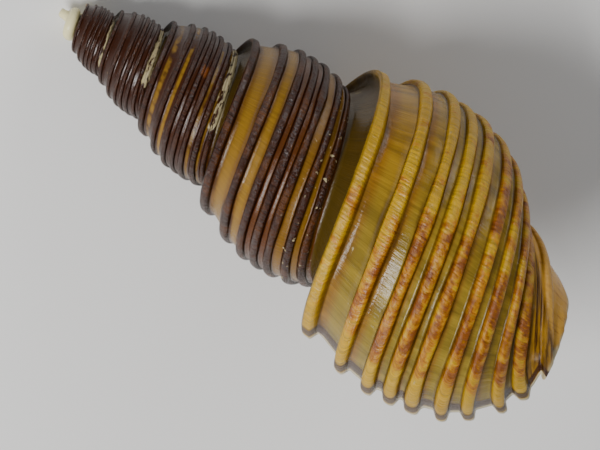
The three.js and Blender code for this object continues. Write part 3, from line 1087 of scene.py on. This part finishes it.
class WHELK_OT_grow_shell(bpy.types.Operator):
    """Grow the shell and lay it down"""

    bl_idname = "whelk.grow_shell"
    bl_label = "Grow Shell"

    def execute(self, context):
        form = Form(context.scene.whelk_sizes)
        bm = bmesh.new()
        bm.loops.layers.uv.new(GROWTH_MAP)
        bm.loops.layers.uv.new(RELIEF_MAP)
        base_before = add_outside(bm, form)
        inner = lip_inner_row(form, base_before)
        add_lip(bm, form, base_before, inner)
        add_hollow(bm, form, base_before, inner)
        bmesh.ops.remove_doubles(bm, verts=bm.verts, dist=WELD)
        close_ends(bm)
        bmesh.ops.recalc_face_normals(bm, faces=bm.faces)
        lay_down(bm)
        for face in bm.faces:
            face.smooth = True
        mesh = bpy.data.meshes.new("whelk_shell")
        bm.to_mesh(mesh)
        bm.free()
        shell = bpy.data.objects.new("whelk_shell", mesh)
        context.scene.collection.objects.link(shell)
        mesh.materials.append(shell_material(context.scene.whelk_colours))
        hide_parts("shell")
        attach(shell, "root")
        return {"FINISHED"}


def add_area_light(context, name, direction, distance, size, power):
    """A soft light at a distance from the shell's middle, turned towards it."""
    data = bpy.data.lights.new(name, "AREA")
    data.shape = "RECTANGLE"
    data.size, data.size_y = size
    data.energy = power
    light = bpy.data.objects.new(name, data)
    toward = Vector(direction).normalized()
    light.location = SHELL_MIDDLE + toward * distance
    light.rotation_euler = toward.to_track_quat("Z", "Y").to_euler()
    context.scene.collection.objects.link(light)


class WHELK_OT_set_stage(bpy.types.Operator):
    """Set up the floor, the lights and the camera"""

    bl_idname = "whelk.set_stage"
    bl_label = "Set Stage"

    def execute(self, context):
        settings = context.scene.whelk_stage
        bm = bmesh.new()
        bmesh.ops.create_grid(bm, x_segments=1, y_segments=1, size=settings.floor_size)
        mesh = bpy.data.meshes.new("floor")
        bm.to_mesh(mesh)
        bm.free()
        floor = bpy.data.objects.new("floor", mesh)
        context.scene.collection.objects.link(floor)
        material = bpy.data.materials.new("pale_floor")
        shader = Pattern(material).surface()
        shader.inputs["Base Color"].default_value = settings.floor_colour
        shader.inputs["Roughness"].default_value = FLOOR_ROUGHNESS
        mesh.materials.append(material)

        world = bpy.data.worlds.new("studio")
        world.use_nodes = True
        background = world.node_tree.nodes["Background"]
        background.inputs["Color"].default_value = SKY_COLOUR
        background.inputs["Strength"].default_value = SKY_STRENGTH
        context.scene.world = world

        add_area_light(context, "key", *KEY_LIGHT, settings.key_power)
        add_area_light(context, "rim", *RIM_LIGHT, settings.rim_power)

        data = bpy.data.cameras.new("camera")
        data.lens = settings.lens
        camera = bpy.data.objects.new("camera", data)
        right = Vector(CAMERA_RIGHT)
        up = Vector(CAMERA_UP)
        axes = Matrix((right, up, right.cross(up))).transposed()
        camera.rotation_euler = axes.to_euler()
        camera.location = CAMERA_AT
        context.scene.collection.objects.link(camera)
        context.scene.camera = camera
        return {"FINISHED"}


class WHELK_PT_panel(bpy.types.Panel):
    """The shell's sizes and colours, and the buttons that make it"""

    bl_label = "Whelk Shell"
    bl_idname = "WHELK_PT_panel"
    bl_space_type = "VIEW_3D"
    bl_region_type = "UI"
    bl_category = "Whelk"

    def draw(self, context):
        scene = context.scene
        for group in (scene.whelk_sizes, scene.whelk_colours, scene.whelk_stage):
            box = self.layout.box()
            for name in group.__annotations__:
                box.prop(group, name)
        self.layout.operator(WHELK_OT_grow_shell.bl_idname)
        self.layout.operator(WHELK_OT_set_stage.bl_idname)


CLASSES = (
    WhelkSizes,
    WhelkColours,
    WhelkStage,
    WHELK_OT_grow_shell,
    WHELK_OT_set_stage,
    WHELK_PT_panel,
)


def register():
    """Registers the classes and adds the settings to the scene."""
    for each in CLASSES:
        bpy.utils.register_class(each)
    bpy.types.Scene.whelk_sizes = PointerProperty(type=WhelkSizes)
    bpy.types.Scene.whelk_colours = PointerProperty(type=WhelkColours)
    bpy.types.Scene.whelk_stage = PointerProperty(type=WhelkStage)


def unregister():
    """Takes the settings and the classes away again."""
    del bpy.types.Scene.whelk_stage
    del bpy.types.Scene.whelk_colours
    del bpy.types.Scene.whelk_sizes
    for each in reversed(CLASSES):
        bpy.utils.unregister_class(each)


def main():
    """Makes the shell and the stage."""
    register()
    bpy.ops.whelk.set_stage()
    bpy.ops.whelk.grow_shell()


if __name__ == "__main__":
    main()
